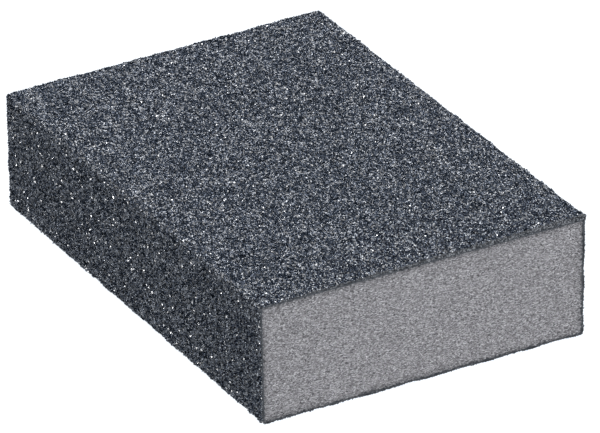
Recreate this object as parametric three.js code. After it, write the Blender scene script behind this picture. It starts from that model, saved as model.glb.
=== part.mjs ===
// A foam-core hand sanding block: a slab of fine-cell foam with coated abrasive bonded to its top, its bottom
// and both long sides. The two short ends are cut foam.
//
// Millimetres. +X runs along the length to one bare end, +Y across the width, +Z up.
// The origin is the middle of the underside. Seen from the +X end, -Y is the left side and +Y the right side.
import * as THREE from 'three';

// Driving dimensions: the finished block, coats included.
const LENGTH = 100;
const WIDTH = 70;
const HEIGHT = 25;

// One coat of abrasive, from the foam outwards. The films are whole sixteenths of a millimetre, which 32-bit
// numbers hold exactly, so neighbouring layers share one flat face with neither a gap nor an overlap.
const MAKE_FILM = 3 / 16; // resin that bonds the grain to the foam
const GRAIN_FILM = 4 / 16; // the grain itself, about one grain deep
const SIZE_FILM = 2 / 16; // resin that locks the grain from above
const COAT = MAKE_FILM + GRAIN_FILM + SIZE_FILM;

// The side coats wrap round the block's four long arrises, which are slightly rounded.
const ARRIS_RADIUS = 0.5;
const ARRIS_STEPS = 4; // chords of the arc in each layer

const HALF_WIDTH = WIDTH / 2;
const FOAM_HALF_WIDTH = HALF_WIDTH - COAT;

// The finishes, as colour, roughness and metalness.
const foamFinish = { color: 0x8b8b90, roughness: 0.95, metalness: 0 };
const makeFinish = { color: 0x2a2f38, roughness: 0.45, metalness: 0 };
const grainFinish = { color: 0x4a515c, roughness: 0.4, metalness: 0.1 };
const sizeFinish = { color: 0x343b46, roughness: 0.35, metalness: 0 };

// The three films of a coat, from the foam outwards: where each begins and ends, measured from the foam.
const films = [
  { name: 'make_coat', from: 0, to: MAKE_FILM, finish: makeFinish },
  { name: 'grain_layer', from: MAKE_FILM, to: MAKE_FILM + GRAIN_FILM, finish: grainFinish },
  { name: 'size_coat', from: MAKE_FILM + GRAIN_FILM, to: COAT, finish: sizeFinish },
];

// Every layer is a straight prism: an outline in the Y-Z plane, drawn as [y, z] corners that run
// anticlockwise seen from +X, carried along the whole length. All of them are cut off flush at both ends.
function prism(name, outline, finish) {
  const shape = new THREE.Shape(outline.map(([y, z]) => new THREE.Vector2(y, z)));
  const geometry = new THREE.ExtrudeGeometry(shape, { depth: LENGTH, bevelEnabled: false, steps: 1 });
  const alongY = new THREE.Vector3(0, 1, 0);
  const alongZ = new THREE.Vector3(0, 0, 1);
  const alongX = new THREE.Vector3(1, 0, 0);
  geometry.applyMatrix4(new THREE.Matrix4().makeBasis(alongY, alongZ, alongX));
  const mesh = new THREE.Mesh(geometry, new THREE.MeshStandardMaterial(finish));
  mesh.name = name;
  mesh.position.x = -LENGTH / 2;
  return mesh;
}

function rectangle(yLow, yHigh, zLow, zHigh) {
  return [[yLow, zLow], [yHigh, zLow], [yHigh, zHigh], [yLow, zHigh]];
}

// The foam between the coats, with the square edges that slitting leaves.
function foamCore() {
  const outline = rectangle(-FOAM_HALF_WIDTH, FOAM_HALF_WIDTH, COAT, HEIGHT - COAT);
  return prism('foam_core', outline, foamFinish);
}

// The coat of a broad face, laid before the slab is slit, so it is as wide as the foam.
function broadCoat(name, isTop) {
  const coat = new THREE.Group();
  for (const film of films) {
    const low = isTop ? HEIGHT - COAT + film.from : COAT - film.to;
    const outline = rectangle(-FOAM_HALF_WIDTH, FOAM_HALF_WIDTH, low, low + film.to - film.from);
    coat.add(prism(`${name}_${film.name}`, outline, film.finish));
  }
  return coat;
}

// Points on a rounded arris between two distances from the block's middle plane: how far out each point is,
// and how far it has dropped below the flat of the broad face.
function arrisPoints(inner, outer) {
  const centre = HALF_WIDTH - ARRIS_RADIUS;
  const angleAt = (y) => Math.asin(Math.min(Math.max((y - centre) / ARRIS_RADIUS, 0), 1));
  const first = angleAt(inner);
  const last = angleAt(outer);
  const points = inner < centre ? [[inner, 0]] : [];
  for (let step = 0; step <= ARRIS_STEPS; step += 1) {
    const angle = first + ((last - first) * step) / ARRIS_STEPS;
    points.push([centre + ARRIS_RADIUS * Math.sin(angle), ARRIS_RADIUS * (1 - Math.cos(angle))]);
  }
  points[0][0] = inner;
  points[points.length - 1][0] = outer;
  return points;
}

// The coat of a long side, laid after slitting, so it covers the cut edges of the broad faces' coats as well.
function sideCoat(name, side) {
  const coat = new THREE.Group();
  for (const film of films) {
    const arc = arrisPoints(FOAM_HALF_WIDTH + film.from, FOAM_HALF_WIDTH + film.to);
    const lower = arc.map(([y, drop]) => [side * y, drop]);
    const upper = arc.map(([y, drop]) => [side * y, HEIGHT - drop]).reverse();
    const outline = lower.concat(upper);
    coat.add(prism(`${name}_${film.name}`, side > 0 ? outline : outline.reverse(), film.finish));
  }
  return coat;
}

const sandingBlock = new THREE.Group();
sandingBlock.add(foamCore());
sandingBlock.add(broadCoat('top', true));
sandingBlock.add(broadCoat('bottom', false));
sandingBlock.add(sideCoat('left_side', -1));
sandingBlock.add(sideCoat('right_side', 1));

export default sandingBlock;
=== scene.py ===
# %% [markdown]
# # A foam sanding block
# The block is a slab of fine-cell foam with abrasive grain glued to its top, its underside and its two
# long sides. The short ends are plain cut foam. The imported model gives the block's size, so it is loaded
# first, and everything made here sits in the same frame: metres, +X along the block, +Z up, and the table
# at zero height.

# %% Load the frame
import math

import bpy
import numpy as np
from mathutils import Matrix, Vector


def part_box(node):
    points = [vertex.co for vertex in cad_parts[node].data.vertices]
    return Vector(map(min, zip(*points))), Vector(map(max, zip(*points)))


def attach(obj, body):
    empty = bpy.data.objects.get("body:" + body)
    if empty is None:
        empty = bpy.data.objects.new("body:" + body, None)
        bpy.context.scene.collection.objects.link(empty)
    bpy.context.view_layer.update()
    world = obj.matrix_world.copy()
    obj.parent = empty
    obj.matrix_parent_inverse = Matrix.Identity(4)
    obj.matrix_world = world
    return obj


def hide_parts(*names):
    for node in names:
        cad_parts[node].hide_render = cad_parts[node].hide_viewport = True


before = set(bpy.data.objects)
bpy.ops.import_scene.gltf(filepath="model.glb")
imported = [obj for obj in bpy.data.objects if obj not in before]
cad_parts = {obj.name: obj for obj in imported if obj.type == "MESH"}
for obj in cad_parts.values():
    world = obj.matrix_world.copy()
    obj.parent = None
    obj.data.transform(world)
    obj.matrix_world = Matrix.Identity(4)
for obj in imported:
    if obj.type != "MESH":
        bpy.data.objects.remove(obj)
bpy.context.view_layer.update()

MM = 0.001

# %% [markdown]
# ## The block's own sizes
# The coats lie between the foam and the outside of the block, so their thickness is the room that the
# foam leaves. The four long edges (arrises) are a little rounded, because the grain wraps round them.

# %% Sizes taken from the frame
foam_low, foam_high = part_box("foam_core")
HALF_LENGTH = foam_high.x
HALF_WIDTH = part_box("right_side_size_coat")[1].y
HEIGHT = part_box("top_size_coat")[1].z
COAT = HALF_WIDTH - foam_high.y
make_low, make_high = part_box("top_make_coat")
MAKE_FILM = make_high.z - make_low.z
ARRIS_RADIUS = 0.85 * MM
print("coat", round(COAT / MM, 4), "mm, of which make", round(MAKE_FILM / MM, 4), "mm")

# %% [markdown]
# ## A block that is not quite true
# Foam springs back after it is cut, so a real block is never quite square: its corners lie a few tenths
# of a millimetre out. Every point of every piece is moved by the same rule, so the pieces still fit one
# another. Towards one corner the grain on top also lies thicker, and it ends there in a small lip that
# overhangs the cut. The shifts are chosen by fitting, not measured on a block.

# %% Out of true
CORNER_SHIFTS = {  # side of the block in x, y and z: how far that corner is out, in mm
    (-1, -1, 1): (-0.3, 0.0, -0.5),
    (-1, 1, 1): (0.0, 0.0, 0.4),
    (1, 1, 1): (0.0, -0.3, 0.0),
    (1, -1, 1): (0.0, -0.25, 0.1),
    (-1, -1, -1): (0.25, 0.0, 0.0),
    (1, -1, -1): (0.0, 0.2, 0.0),
    (1, 1, -1): (0.0, -0.3, 0.0),
}
THICK_CORNER = np.array([1, 1, 1])
THICKER = np.array([0.0, 0.0, 0.95]) * MM
LIP_SHIFT = np.array([0.35, 0.35, 0.1]) * MM
LIP_RADIUS = 1.3 * MM
half_size = np.array([HALF_LENGTH, HALF_WIDTH, HEIGHT / 2])
middle = np.array([0.0, 0.0, HEIGHT / 2])


def share_of(corner, points):
    """How much of a corner's shift reaches each point: all at the corner, none at the other seven."""
    return np.prod((1 + (points - middle) / half_size * np.array(corner)) / 2, axis=1)[:, None]


def settle(points):
    """Moves points as the crooked block carries them. Between the corners the shift changes evenly."""
    shifts = [share_of(corner, points) * np.array(shift) * MM for corner, shift in CORNER_SHIFTS.items()]
    return points + sum(shifts)


def raise_surface(points):
    """Moves the points of a coat's surface: up where the grain lies thicker, and out at the lip."""
    distance = np.linalg.norm(points - middle - half_size * THICK_CORNER, axis=1)[:, None]
    near_lip = np.exp(-(distance / LIP_RADIUS) ** 2)
    return points + share_of(THICK_CORNER, points) * THICKER + near_lip * LIP_SHIFT


print("corners moved:", len(CORNER_SHIFTS), "by up to", np.abs(list(CORNER_SHIFTS.values())).max(), "mm")

# %% [markdown]
# ## Camera
# A long lens far away keeps the block's parallel edges almost parallel, which is how small goods are
# shown. The place is given as an angle round the block, a height above the table and a distance.

# %% Camera
CAMERA_AZIMUTH = math.radians(60.5)
CAMERA_ELEVATION = math.radians(27.98)
CAMERA_DISTANCE = 1.475
CAMERA_ROLL = math.radians(-0.29)
LENS_MM = 465.5
NEAREST_SEEN = 0.01
aim = Vector((2.7 * MM, 0.2 * MM, 12.62 * MM))


def direction(azimuth, elevation):
    """The way from the block towards something that stands at this angle round it and this far up."""
    flat = math.cos(elevation)
    return Vector((math.sin(azimuth) * flat, -math.cos(azimuth) * flat, math.sin(elevation)))


def look_at(thing, place, target, roll=0.0):
    """Puts a camera or a lamp at a place, looking at a target, and rolls it about its line of sight."""
    thing.location = place
    turn = (Vector(target) - Vector(place)).to_track_quat("-Z", "Y").to_matrix()
    thing.rotation_euler = (turn @ Matrix.Rotation(roll, 3, "Z")).to_euler()


camera = bpy.data.objects.new("camera", bpy.data.cameras.new("camera"))
camera.data.lens = LENS_MM
camera.data.clip_start = NEAREST_SEEN
bpy.context.scene.collection.objects.link(camera)
bpy.context.scene.camera = camera
away = direction(CAMERA_AZIMUTH, CAMERA_ELEVATION)
look_at(camera, aim + away * CAMERA_DISTANCE, aim, CAMERA_ROLL)
print("camera at", [round(place, 3) for place in camera.location], "m with a lens of", LENS_MM, "mm")

# %% [markdown]
# ## Two helpers for materials
# Colours are written as the hex numbers that a paint program shows, which are sRGB. Blender's shaders add
# up light, so they need linear numbers, and one function does the change. Another adds a node with its
# settings and links in one line, so that a material reads like a recipe. An input is given by its name,
# or by an underscore and its number where several inputs of a node share a name.

# %% Material helpers


def linear(hex_colour):
    """An sRGB hex colour as the linear red, green, blue and alpha that a shader takes."""
    channels = [int(hex_colour[i:i + 2], 16) / 255 for i in (1, 3, 5)]
    # The numbers are the sRGB standard's own: a straight stretch near black, then a curve.
    return [c / 12.92 if c <= 0.04045 else ((c + 0.055) / 1.055) ** 2.4 for c in channels] + [1.0]


def add_node(tree, kind, settings=None, **inputs):
    """Adds a node. settings are the node's own options; an input takes a number, a colour or a socket."""
    node = tree.nodes.new(kind)
    for name, value in (settings or {}).items():
        setattr(node, name, value)
    for name, value in inputs.items():
        socket = node.inputs[int(name[1:]) if name[1:].isdigit() else name.replace("_", " ")]
        if isinstance(value, bpy.types.NodeSocket):
            tree.links.new(value, socket)
        else:
            socket.default_value = value
    return node


def new_material(name):
    """An empty node material and its tree."""
    material = bpy.data.materials.new(name)
    material.use_nodes = True
    material.node_tree.nodes.clear()
    return material, material.node_tree


def ramp(tree, factor, stops):
    """A colour ramp from pairs of a position and a colour."""
    node = add_node(tree, "ShaderNodeValToRGB", Fac=factor)
    elements = node.color_ramp.elements
    while len(elements) < len(stops):
        elements.new(1.0)
    for element, (position, colour) in zip(elements, stops):
        element.position = position
        element.color = colour
    return node.outputs["Color"]


def finish_material(tree, shader):
    """Joins a shader to the material's output."""
    output = add_node(tree, "ShaderNodeOutputMaterial")
    tree.links.new(shader.outputs[0], output.inputs["Surface"])


print("sRGB mid grey is", round(linear("#808080")[0], 3), "in linear light")

# %% [markdown]
# ## Studio
# Small goods are often shown on a light table: a sheet of opal acrylic that glows from below and takes
# the shadow away. The sheet's own colour is a dark grey, so that the lamps add little to its glow.

# %% Light table
FLOOR_SIZE = 8.0
TABLE_GLOW = 1.1
floor_mesh = bpy.data.meshes.new("floor")
half_floor = FLOOR_SIZE / 2
floor_corners = [(x * half_floor, y * half_floor, 0.0) for x, y in ((-1, -1), (1, -1), (1, 1), (-1, 1))]
floor_mesh.from_pydata(floor_corners, [], [(0, 1, 2, 3)])
floor = bpy.data.objects.new("floor", floor_mesh)
bpy.context.scene.collection.objects.link(floor)

opal, tree = new_material("lit_opal_acrylic_table")
finish_material(tree, add_node(
    tree, "ShaderNodeBsdfPrincipled", Base_Color=linear("#3c3e40"), Roughness=0.8,
    Emission_Color=linear("#f4f9ff"), Emission_Strength=TABLE_GLOW))
floor_mesh.materials.append(opal)
print("table:", FLOOR_SIZE, "m wide")

# %% [markdown]
# A low view would look past the far edge of the table into the dark room. A pale paper wall stands all
# round it. The wall is only to be seen: it is taken out of the bounced light and out of the reflections,
# so only the table, the lamps and the dim room light the block.

# %% Paper wall
WALL_RADIUS = 3.9
WALL_HEIGHT = 3.0
WALL_SIDES = 48
turns = np.linspace(0, 2 * math.pi, WALL_SIDES, endpoint=False)
wall_foot = [(WALL_RADIUS * math.cos(t), WALL_RADIUS * math.sin(t), 0.0) for t in turns]
wall_head = [(x, y, WALL_HEIGHT) for x, y, _ in wall_foot]
wall_faces = [(i, i + WALL_SIDES, (i + 1) % WALL_SIDES + WALL_SIDES, (i + 1) % WALL_SIDES)
              for i in range(WALL_SIDES)]
wall_mesh = bpy.data.meshes.new("wall")
wall_mesh.from_pydata(wall_foot + wall_head, [], wall_faces)
wall = bpy.data.objects.new("wall", wall_mesh)
wall.visible_diffuse = False
wall.visible_glossy = False
wall.visible_shadow = False
bpy.context.scene.collection.objects.link(wall)

paper, tree = new_material("lit_background_paper")
finish_material(tree, add_node(tree, "ShaderNodeEmission", Color=linear("#fafcff"), Strength=TABLE_GLOW))
wall_mesh.materials.append(paper)
print("wall:", len(wall_mesh.polygons), "sides")

# %% [markdown]
# A big soft lamp overhead lights the top, and a weaker one beside the end lights the cut foam. The long
# side has no big lamp of its own, so it falls into shade. Four small lamps, which are bright for their
# size, make single facets of the grain flash.

# %% Room and lamps
ROOM_LIGHT = 0.04
world = bpy.data.worlds.new("studio_room")
world.use_nodes = True
room_light = world.node_tree.nodes["Background"]
room_light.inputs["Color"].default_value = linear("#d8e6f8")
room_light.inputs["Strength"].default_value = ROOM_LIGHT
bpy.context.scene.world = world


def softbox(name, azimuth, elevation, distance, side, watts):
    """A square lamp that looks at the block from an angle round it and an angle above the table."""
    lamp = bpy.data.lights.new(name, "AREA")
    lamp.shape = "SQUARE"
    lamp.size = side
    lamp.energy = watts
    item = bpy.data.objects.new(name, lamp)
    item.visible_camera = False
    bpy.context.scene.collection.objects.link(item)
    towards = direction(math.radians(azimuth), math.radians(elevation))
    look_at(item, aim + towards * distance, aim)


softbox("overhead_softbox", azimuth=-140, elevation=70, distance=1.3, side=1.3, watts=33)
softbox("end_softbox", azimuth=100, elevation=30, distance=1.5, side=0.7, watts=8.4)
softbox("left_spark", azimuth=-49, elevation=7, distance=1.2, side=0.12, watts=2.6)
softbox("side_spark", azimuth=-10, elevation=12, distance=1.2, side=0.12, watts=1.8)
softbox("back_spark", azimuth=-135, elevation=40, distance=1.2, side=0.14, watts=2.0)
softbox("right_spark", azimuth=130, elevation=55, distance=1.2, side=0.12, watts=1.2)
bpy.context.scene.view_settings.view_transform = "Standard"
print("lamps:", [lamp.name for lamp in bpy.data.lights])

# %% [markdown]
# ## The outline that the coats follow
# All four coats lie on one rounded rectangle. It is walked once round, face by face, and each face owns
# its flat and half of the arris at either end. A point is given by its distance along the face from the
# middle and by how far it stands out of the nominal surface, so that bumps always point outwards, round
# arrises too.

# %% Walk round the block
FACES = ["bottom", "right_side", "top", "left_side"]  # in the order of the walk, anticlockwise from +X
QUARTER = math.pi / 2


def face_sizes(face):
    """Half of the flat along the walk, and the distance from the block's middle out to the surface."""
    if face in ("top", "bottom"):
        return HALF_WIDTH - ARRIS_RADIUS, HEIGHT / 2
    return HEIGHT / 2 - ARRIS_RADIUS, HALF_WIDTH


def half_walk(face):
    """Half of the length that a face has on the outline: its flat and an eighth of a circle at each end."""
    return face_sizes(face)[0] + ARRIS_RADIUS * QUARTER / 2


def turned(face, tangent, normal):
    """Y and Z from a distance along a face and a distance outwards from the block's middle."""
    turn = FACES.index(face) * QUARTER
    y = tangent * math.cos(turn) + normal * math.sin(turn)
    z = tangent * math.sin(turn) - normal * math.cos(turn) + HEIGHT / 2
    return y, z


def on_face(face, along, out):
    """Y and Z for a point on a face: along the walk from the face's middle, and out from the surface."""
    flat, reach = face_sizes(face)
    past = np.clip(np.abs(along) - flat, 0, None) * np.sign(along)
    angle = past / ARRIS_RADIUS
    radius = ARRIS_RADIUS + out
    tangent = np.clip(along, -flat, flat) + radius * np.sin(angle)
    normal = reach - ARRIS_RADIUS + radius * np.cos(angle)
    return turned(face, tangent, normal)


def point_list(x, y, z):
    """Three grids of coordinates as one list of points."""
    return np.stack([x, y, z], -1).reshape(-1, 3)


print("outline:", {face: round(2 * half_walk(face) / MM, 2) for face in FACES}, "mm")

# %% [markdown]
# ## From a grid of points to a closed film
# Each film is a sheet of points with a flat back. The back is one polygon, joined to the sheet's rim by a
# strip of faces, so the mesh is closed and its cut ends are real surfaces that show in cross-section.
# Where the grain lies thicker, only the fronts of the grain beds rise, so the beds fill the room under
# them. The size coat rises whole with the grain, and the make coat under it all stays.

# %% Build a film


def mesh_object(name, points, triangles, polygons=()):
    """A mesh object from points, an array of triangles and a few larger polygons."""
    mesh = bpy.data.meshes.new(name)
    faces = triangles.tolist() + [list(p) for p in polygons]
    mesh.from_pydata(settle(points).tolist(), [], faces)
    mesh.validate()
    item = bpy.data.objects.new(name, mesh)
    bpy.context.scene.collection.objects.link(item)
    return item


def grid_triangles(rows, columns, flips):
    """Two triangles for each square of a grid. flips says which way each square is split."""
    corner = np.arange(rows * columns).reshape(rows, columns)
    a, b = corner[:-1, :-1].ravel(), corner[1:, :-1].ravel()
    c, d = corner[1:, 1:].ravel(), corner[:-1, 1:].ravel()
    flip = flips.ravel()[:, None]
    first = np.where(flip, np.stack([a, b, d], 1), np.stack([a, b, c], 1))
    second = np.where(flip, np.stack([b, c, d], 1), np.stack([a, c, d], 1))
    return np.concatenate([first, second])


def rim_of(rows, columns):
    """The grid's outer points in order round it."""
    corner = np.arange(rows * columns).reshape(rows, columns)
    return np.concatenate([corner[:-1, 0], corner[-1, :-1], corner[:0:-1, -1], corner[0, :0:-1]])


def strip_between(rim, behind):
    """Triangles that join a closed ring of points to the ring behind it."""
    ahead, ahead_behind = np.roll(rim, -1), np.roll(behind, -1)
    return np.concatenate([np.stack([rim, behind, ahead], 1), np.stack([ahead, behind, ahead_behind], 1)])


def film(name, face, x, along, out, depth, flips=None, front_rises=True, back_rises=False):
    """A closed film on a face. x, along and out are grids; depth is how far its flat back lies below.

    front_rises and back_rises say which of them follows the surface up where the grain lies thicker.
    """
    rows, columns = x.shape
    y, z = on_face(face, along, out)
    front = point_list(x, y, np.maximum(z, 0.0))  # nothing reaches below the table
    flat, reach = face_sizes(face)
    squeeze = (flat + ARRIS_RADIUS - depth) / half_walk(face)
    back = point_list(x, *turned(face, along * squeeze, reach - depth))
    front = raise_surface(front) if front_rises else front
    back = raise_surface(back) if back_rises else back
    if flips is None:
        flips = np.indices((rows - 1, columns - 1)).sum(0) % 2 == 0
    rim = rim_of(rows, columns)
    behind = len(front) + np.arange(len(rim))
    triangles = np.concatenate([grid_triangles(rows, columns, flips), strip_between(rim, behind)])
    return mesh_object(name, np.concatenate([front, back[rim]]), triangles, [behind[::-1].tolist()])


print("a net of 3 by 3 points:", len(rim_of(3, 3)), "on its rim")

# %% [markdown]
# ## The grain bed
# Crushed grain packs side by side with its points up. Laying tens of thousands of separate crystals would
# hide most of their faces in resin, so only what shows is built: a fine net in which every other point is
# a tip and the rest are gaps. A real grain's smallest chips are too fine to show, so the net is coarser
# than they are, and each of its triangles stands for one broken face.

# %% The net
GRAIN_PITCH = 0.38 * MM  # from tip to tip
NET = GRAIN_PITCH / math.sqrt(2)


def rows_along(step):
    """How many rows of points, about a step apart, cover the block's length."""
    return round(2 * HALF_LENGTH / step) + 1


def walk_grid(step, face):
    """X and distance along the walk for a net of about this step on one face."""
    columns = 2 * round(half_walk(face) / step) + 1
    x = np.linspace(-HALF_LENGTH, HALF_LENGTH, rows_along(step))
    along = np.linspace(-half_walk(face), half_walk(face), columns)
    return np.meshgrid(x, along, indexing="ij")


print("net:", {face: walk_grid(NET, face)[0].shape for face in FACES}, "points")

# %% [markdown]
# The coat isn't flat. It follows long waves in the foam, and the grain lies in short lumps. A sum of
# waves in random directions gives such a surface at any point, and it runs on smoothly from face to face.

# %% Swelling of the coat
WAVE_HEIGHT = 0.06 * MM
WAVE_LENGTH = 7 * MM
WAVE_SEED = 11
LUMP_HEIGHT = 0.035 * MM
LUMP_LENGTH = 1.6 * MM
LUMP_SEED = 12
WAVES_SUMMED = 24
WAVE_SPREAD = (0.7, 1.4)  # of the wavelength that is asked for


def smooth_noise(points, wavelength, seed):
    """A smooth random field with a mean of 0 and a spread of 1."""
    rng = np.random.default_rng(seed)
    ways = rng.normal(size=(WAVES_SUMMED, 3))
    ways /= np.linalg.norm(ways, axis=1, keepdims=True)
    turns = ways * 2 * math.pi / (wavelength * rng.uniform(*WAVE_SPREAD, (WAVES_SUMMED, 1)))
    phase = rng.uniform(0, 2 * math.pi, WAVES_SUMMED)
    return np.cos(points @ turns.T + phase).sum(axis=1) * math.sqrt(2 / WAVES_SUMMED)


def unevenness(face, x, along, wavelength, height, seed):
    """A smooth random height at each point of a face's nominal surface."""
    y, z = on_face(face, along, 0.0)
    return smooth_noise(point_list(x, y, z), wavelength, seed).reshape(x.shape) * height


def swell(face, x, along):
    """How far the whole coat stands out at each point."""
    waves = unevenness(face, x, along, WAVE_LENGTH, WAVE_HEIGHT, WAVE_SEED)
    lumps = unevenness(face, x, along, LUMP_LENGTH, LUMP_HEIGHT, LUMP_SEED)
    return waves + lumps


print("the top swells by up to", round(swell("top", *walk_grid(WAVE_LENGTH, "top")).max() / MM, 2), "mm")

# %% [markdown]
# The net's points are shaken sideways, up and down, and each square is split at random, so every small
# triangle is turned its own way, like the broken faces of crystals. It is left unsmoothed. Neighbouring
# faces share the points on the seam between them. On the underside the tallest tips end at the table,
# which carries the block.

# %% Shake the net
GRAIN_SEED = 2024
SHAKE = 0.36  # of the net's step
RAGGED_END = 0.15 * MM
TIP_DEPTH = 0.14 * MM  # of the lowest tip, below the nominal surface
TIP_SPREAD = 0.06 * MM  # most tips are about as high, and a few stand far out
TIP_HIGHEST = 0.3 * MM
GAP_DEPTH = (0.18 * MM, 0.38 * MM)
rng = np.random.default_rng(GRAIN_SEED)


def shaken(shape):
    """The random part of a patch of net: how far each point moves, and its height as a tip and as a gap."""
    inwards = np.reshape([-1, 1], (2,) + (1,) * (len(shape) - 1))
    shake_x = rng.uniform(-SHAKE, SHAKE, shape) * NET
    shake_x[[0, -1]] = rng.uniform(-RAGGED_END, 0.0, shake_x[[0, -1]].shape) * inwards
    shake_along = rng.uniform(-SHAKE, SHAKE, shape) * NET
    tip = np.minimum(rng.exponential(TIP_SPREAD, shape) - TIP_DEPTH, TIP_HIGHEST)
    gap = -rng.uniform(*GAP_DEPTH, shape)
    return shake_x, shake_along, tip, gap


seams = [shaken((rows_along(NET),)) for _ in FACES]  # seam k lies before face k on the walk
print("seams:", len(seams), "of", rows_along(NET), "points")

# %% Lay the grain beds
BED_OVERLAP = 0.05 * MM  # the beds' backs lie this far inside the make coat
BED_DEPTH = COAT - MAKE_FILM + BED_OVERLAP
EVEN_ODDS = 0.5


def grain_bed(face):
    """The faceted grain on one face. Its two long rims are shared with the neighbouring faces' beds."""
    x, along = walk_grid(NET, face)
    patch = shaken(x.shape)
    order = FACES.index(face)
    for values, before, after in zip(patch, seams[order], seams[(order + 1) % len(FACES)]):
        values[:, 0] = before
        values[:, -1] = after
    shake_x, shake_along, tip, gap = patch
    is_tip = np.indices(x.shape).sum(0) % 2 == 0
    out = swell(face, x, along) + np.where(is_tip, tip, gap)
    flips = rng.random((x.shape[0] - 1, x.shape[1] - 1)) < EVEN_ODDS
    return film(f"{face}_grain", face, x + shake_x, along + shake_along, out, BED_DEPTH, flips)


beds = {face: grain_bed(face) for face in FACES}
print("grain beds:", {face: len(bed.data.polygons) for face, bed in beds.items()}, "faces")

# %% [markdown]
# ## The make coat and the size coat
# Both are resin. The make coat is the film under the grain, which shows only as a line at the cut ends.
# The size coat sinks between the grains before it sets, so it fills only the deeper gaps. A liquid leaves
# no facets, so its surface is shaded smooth and only ripples a little.

# %% Resin films
RESIN_STEP = 0.8 * MM
RESIN_END_INSET = 0.03 * MM
SIZE_STEP = 0.45 * MM
SIZE_DEPTH = 0.3 * MM  # of its surface, below the nominal one
SIZE_RIPPLE = 0.035 * MM
SIZE_RIPPLE_LENGTH = 0.9 * MM
SIZE_RIPPLE_SEED = 13
SIZE_BACK = 0.4 * MM
INSET = 1 - RESIN_END_INSET / HALF_LENGTH


def make_coat(face):
    """The resin under the grain, from the foam up to the backs of the grains."""
    x, along = walk_grid(RESIN_STEP, face)
    out = swell(face, x, along) - (COAT - MAKE_FILM)
    return film(f"{face}_make_resin", face, x * INSET, along, out, COAT, front_rises=False)


def size_coat(face):
    """The resin between the grains."""
    x, along = walk_grid(SIZE_STEP, face)
    ripple = unevenness(face, x, along, SIZE_RIPPLE_LENGTH, SIZE_RIPPLE, SIZE_RIPPLE_SEED)
    out = swell(face, x, along) - SIZE_DEPTH + ripple
    return film(f"{face}_size_resin", face, x * INSET, along, out, SIZE_BACK, back_rises=True)


make_films = {face: make_coat(face) for face in FACES}
size_films = {face: size_coat(face) for face in FACES}
for item in size_films.values():
    item.data.shade_smooth()
resin_films = [*make_films.values(), *size_films.values()]
print("resin films:", sum(len(item.data.polygons) for item in resin_films), "faces")

# %% [markdown]
# ## The foam
# The foam shows only at its two cut ends. A knife opens every cell that it meets, so the end is a field
# of small pits. They are built as real relief: a net of points across each end, each point sunk by its
# own random depth, mostly a shallow one, and shaken sideways. The walls between real cells are far
# thinner than the net's step and would not show, so the relief is coarser than real foam. The four sides
# are flat and lie under the coats.

# %% Cut ends of the foam
CELL_WIDTH = 0.26 * MM
CELL_HEIGHT = 0.19 * MM
CELL_SHAKE = 0.4  # of a cell
PIT_DEPTH = 0.22 * MM
FOAM_SET_BACK = 0.04 * MM
END_SEEDS = {1: 31, -1: 32}
SPLIT_SEED = 33
foam_rows = round((foam_high.y - foam_low.y) / CELL_WIDTH) + 1
foam_columns = round((foam_high.z - foam_low.z) / CELL_HEIGHT) + 1


def foam_end(sign):
    """The points of one cut end, as a grid over the foam's width and height."""
    rng = np.random.default_rng(END_SEEDS[sign])
    across = np.linspace(foam_low.y, foam_high.y, foam_rows)
    up = np.linspace(foam_low.z, foam_high.z, foam_columns)
    y, z = np.meshgrid(across, up, indexing="ij")
    pits = rng.random(y.shape) ** 2 * PIT_DEPTH  # squared, so that most are shallow
    inside = (slice(1, -1), slice(1, -1))
    y[inside] += rng.uniform(-CELL_SHAKE, CELL_SHAKE, y[inside].shape) * CELL_WIDTH
    z[inside] += rng.uniform(-CELL_SHAKE, CELL_SHAKE, y[inside].shape) * CELL_HEIGHT
    return point_list(sign * (HALF_LENGTH - FOAM_SET_BACK - pits), y, z)


front_end, back_end = foam_end(1), foam_end(-1)
print("foam ends:", foam_rows, "by", foam_columns, "points")

# %% [markdown]
# The two ends are joined by the flat sides to make one closed core. Each point also keeps its distance
# from the nearest coat, which the finish will use.

# %% Foam core
flips = np.random.default_rng(SPLIT_SEED).random((foam_rows - 1, foam_columns - 1)) < EVEN_ODDS
front_faces = grid_triangles(foam_rows, foam_columns, flips)
back_faces = front_faces[:, ::-1] + len(front_end)
rim = rim_of(foam_rows, foam_columns)
sides = strip_between(rim, rim + len(front_end))
foam_points = np.concatenate([front_end, back_end])
foam = mesh_object("foam_core_cut", foam_points, np.concatenate([front_faces, back_faces, sides]))
to_side = foam_high.y - np.abs(foam_points[:, 1])
to_top_or_bottom = np.minimum(foam_points[:, 2] - foam_low.z, foam_high.z - foam_points[:, 2])
distances = foam.data.attributes.new("mm_from_coat", "FLOAT", "POINT")
distances.data.foreach_set("value", np.minimum(to_side, to_top_or_bottom) / MM)
print("foam:", len(foam.data.polygons), "faces")

# %% [markdown]
# ## Finishes
# The foam and the grain are both mottled cell by cell, crystal by crystal. Cells and crystals are too
# small to build one by one, so a pattern of random cells gives each patch its own tone, picked from a
# ramp.

# %% Patches of random tone


def object_place(tree):
    """Where a point lies on the object, so that a pattern keeps its size in metres."""
    return add_node(tree, "ShaderNodeTexCoord").outputs["Object"]


def random_patches(tree, place, width, stops):
    """A tone for each patch of about this width, picked from a ramp."""
    patch = add_node(tree, "ShaderNodeTexVoronoi", Vector=place, Scale=1 / width)
    pick = add_node(tree, "ShaderNodeSeparateColor", Color=patch.outputs["Color"])
    return ramp(tree, pick.outputs[0], [(position, linear(colour)) for position, colour in stops])


def maths(tree, operation, first, second=0.0, clamp=False):
    """The result of one sum on sockets or numbers."""
    settings = {"operation": operation, "use_clamp": clamp}
    return add_node(tree, "ShaderNodeMath", settings, _0=first, _1=second).outputs[0]


print("helpers for finishes:", [helper.__name__ for helper in (random_patches, maths)])

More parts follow.
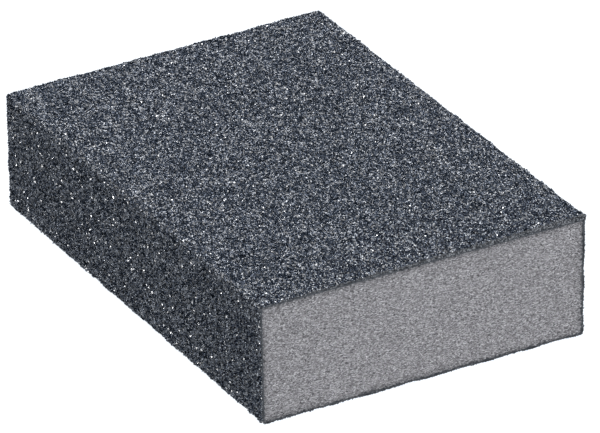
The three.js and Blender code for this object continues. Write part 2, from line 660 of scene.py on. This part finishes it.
# %% [markdown]
# ### Polyurethane foam, slit with a knife
# Dull, because light is lost in the open cells. Each cell that the knife opened is darker or lighter than
# the next, and the patches are longer across the block than they are high. Resin has soaked in from the
# coats, so the foam is dark there in a ragged band that fades over about a millimetre.

# %% Foam material
FOAM_PATCH = 0.2 * MM
FOAM_SQUASH = (1.0, 0.6, 2.6)  # of the patches in X, Y and Z: above 1 makes them narrower
FOAM_TONES = [(0.0, "#434144"), (0.3, "#777577"), (0.75, "#aaa8aa"), (1.0, "#dddbde")]
SOAK_DEPTH = 0.5  # mm over which the resin's darkness falls to about a third
SOAK_STRENGTH = 0.62
SOAK_RAGGED = 0.45  # mm
SOAK_FRAY = 0.5 * MM
SOAK_COLOUR = "#2c3036"
NOISE_DETAIL = 3.0
NOISE_MIDDLE = (0.3, 0.7)  # where most of a noise pattern's values lie


def foam_material():
    """Fine-cell polyurethane foam with cut cells."""
    material, tree = new_material("slit_polyurethane_foam")
    place = object_place(tree)
    squashed = add_node(tree, "ShaderNodeMapping", Vector=place, Scale=FOAM_SQUASH).outputs["Vector"]
    tone = random_patches(tree, squashed, FOAM_PATCH, FOAM_TONES)
    fray = add_node(tree, "ShaderNodeTexNoise", Vector=place, Scale=1 / SOAK_FRAY, Detail=NOISE_DETAIL)
    spread = add_node(
        tree, "ShaderNodeMapRange", Value=fray.outputs["Fac"], From_Min=NOISE_MIDDLE[0],
        From_Max=NOISE_MIDDLE[1], To_Min=-SOAK_RAGGED, To_Max=SOAK_RAGGED)
    from_coat = add_node(tree, "ShaderNodeAttribute", {"attribute_name": "mm_from_coat"}).outputs["Fac"]
    ragged = maths(tree, "ADD", from_coat, spread.outputs["Result"])
    fallen = maths(tree, "EXPONENT", maths(tree, "MULTIPLY", ragged, -1 / SOAK_DEPTH))
    soaked = maths(tree, "MULTIPLY", fallen, SOAK_STRENGTH, clamp=True)
    colour = add_node(
        tree, "ShaderNodeMix", {"data_type": "RGBA"}, _0=soaked, _6=tone, _7=linear(SOAK_COLOUR))
    finish_material(tree, add_node(
        tree, "ShaderNodeBsdfPrincipled", Base_Color=colour.outputs[2], Roughness=0.95, IOR=1.45))
    return material


foam.data.materials.append(foam_material())
print("foam finish:", foam.active_material.name)

# %% [markdown]
# ### Phenolic resin
# Dark blue-grey and half glossy, as it cures from a liquid. The filler in it makes its colour slightly
# uneven, in clouds about a millimetre wide.

# %% Resin materials
CLOUD_WIDTH = 0.8 * MM


def resin_material(name, dark, light, roughness):
    """Cured phenolic resin with filler in it."""
    material, tree = new_material(name)
    cloud = add_node(
        tree, "ShaderNodeTexNoise", Vector=object_place(tree), Scale=1 / CLOUD_WIDTH, Detail=NOISE_DETAIL)
    tone = add_node(tree, "ShaderNodeMix", {"data_type": "RGBA"}, _0=cloud.outputs["Fac"],
                    _6=linear(dark), _7=linear(light))
    finish_material(tree, add_node(
        tree, "ShaderNodeBsdfPrincipled", Base_Color=tone.outputs[2], Roughness=roughness, IOR=1.6))
    return material


make_resin = resin_material("cured_phenolic_make_resin", dark="#262a31", light="#434951", roughness=0.6)
size_resin = resin_material("cured_phenolic_size_resin", dark="#0c1118", light="#1a212b", roughness=0.35)
print("resins:", make_resin.name, "and", size_resin.name)

# %% [markdown]
# ### Crushed silicon carbide
# Every grain is a broken crystal with flat faces, seen through a thin skin of the size coat. The skin
# sets how strongly a face mirrors a lamp, and the crystal under it sets the colour: most are blue-black
# and some are grey. A few crystals are painted nearly white: these are painted glints, standing in for
# facets that flash in the lamps. At the two ends the knife went through grain and resin together, and
# the cut is dull and greyer, with foam dust on it.

# %% Grain materials
CRYSTAL_WIDTH = 0.16 * MM
# The top of this ramp, from grey up to nearly white, is painted glint: those crystals stand in for facets
# that flash in the lamps. The darker stops are the crystals' own colour.
CRYSTAL_TONES_AND_GLINTS = [
    (0.0, "#010206"), (0.16, "#090f18"), (0.5, "#1d242e"),
    (0.84, "#4a525f"), (0.95, "#8890a0"), (1.0, "#f6faff")]
CUT_CRYSTAL_WIDTH = 0.2 * MM
CUT_CRYSTAL_TONES = [(0.0, "#0c0f13"), (0.5, "#373b41"), (1.0, "#999b9f")]


def grain_material(name, crystal_width, tones, roughness):
    """Crushed grain in which each crystal has its own depth of colour from the ramp. Crystals that get the
    near-white end of a ramp are painted glints.
    """
    material, tree = new_material(name)
    tone = random_patches(tree, object_place(tree), crystal_width, tones)
    finish_material(tree, add_node(
        tree, "ShaderNodeBsdfPrincipled", Base_Color=tone, Roughness=roughness, IOR=1.5))
    return material


grain = grain_material("resin_coated_crushed_silicon_carbide", CRYSTAL_WIDTH, CRYSTAL_TONES_AND_GLINTS, roughness=0.1)
cut_grain = grain_material(
    "cut_through_grain_and_resin", CUT_CRYSTAL_WIDTH, CUT_CRYSTAL_TONES, roughness=0.9)
print("grain finishes:", grain.name, "and", cut_grain.name)

# %% [markdown]
# The cut finish goes on the faces that close a bed at the block's ends. They are told from the rest by
# their place, close to the end, and by their direction, mostly along the block.

# %% Where each finish goes
END_REACH = 0.2 * MM  # from the block's end to the middle of a face
END_LEAN = 0.8  # of a face's normal along the block


def mark_cut_ends(bed):
    """Gives the cut finish to the faces that close a bed at the block's two ends. Returns their number."""
    count = len(bed.data.polygons)
    centres, normals = np.empty(count * 3), np.empty(count * 3)
    bed.data.polygons.foreach_get("center", centres)
    bed.data.polygons.foreach_get("normal", normals)
    at_end = np.abs(centres[::3]) > HALF_LENGTH - END_REACH
    is_cut = at_end & (np.abs(normals[::3]) > END_LEAN)
    bed.data.polygons.foreach_set("material_index", is_cut.astype(np.int32))
    return int(is_cut.sum())


for face in FACES:
    beds[face].data.materials.append(grain)
    beds[face].data.materials.append(cut_grain)
    print(face, "cut faces:", mark_cut_ends(beds[face]))
    make_films[face].data.materials.append(make_resin)
    size_films[face].data.materials.append(size_resin)

# %% [markdown]
# ## Join the pieces to the frame
# Nothing on the block moves, so every piece rides on the one body. Each piece stands for the CAD node
# that it replaces, and that node is hidden.

# %% Ride and replace


def stand_for(piece, node):
    """Makes a piece ride on the body and stand for a CAD node."""
    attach(piece, "root")
    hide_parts(node)


for face in FACES:
    stand_for(make_films[face], f"{face}_make_coat")
    stand_for(beds[face], f"{face}_grain_layer")
    stand_for(size_films[face], f"{face}_size_coat")
stand_for(foam, "foam_core")
print("pieces:", len(resin_films) + len(beds) + 1)
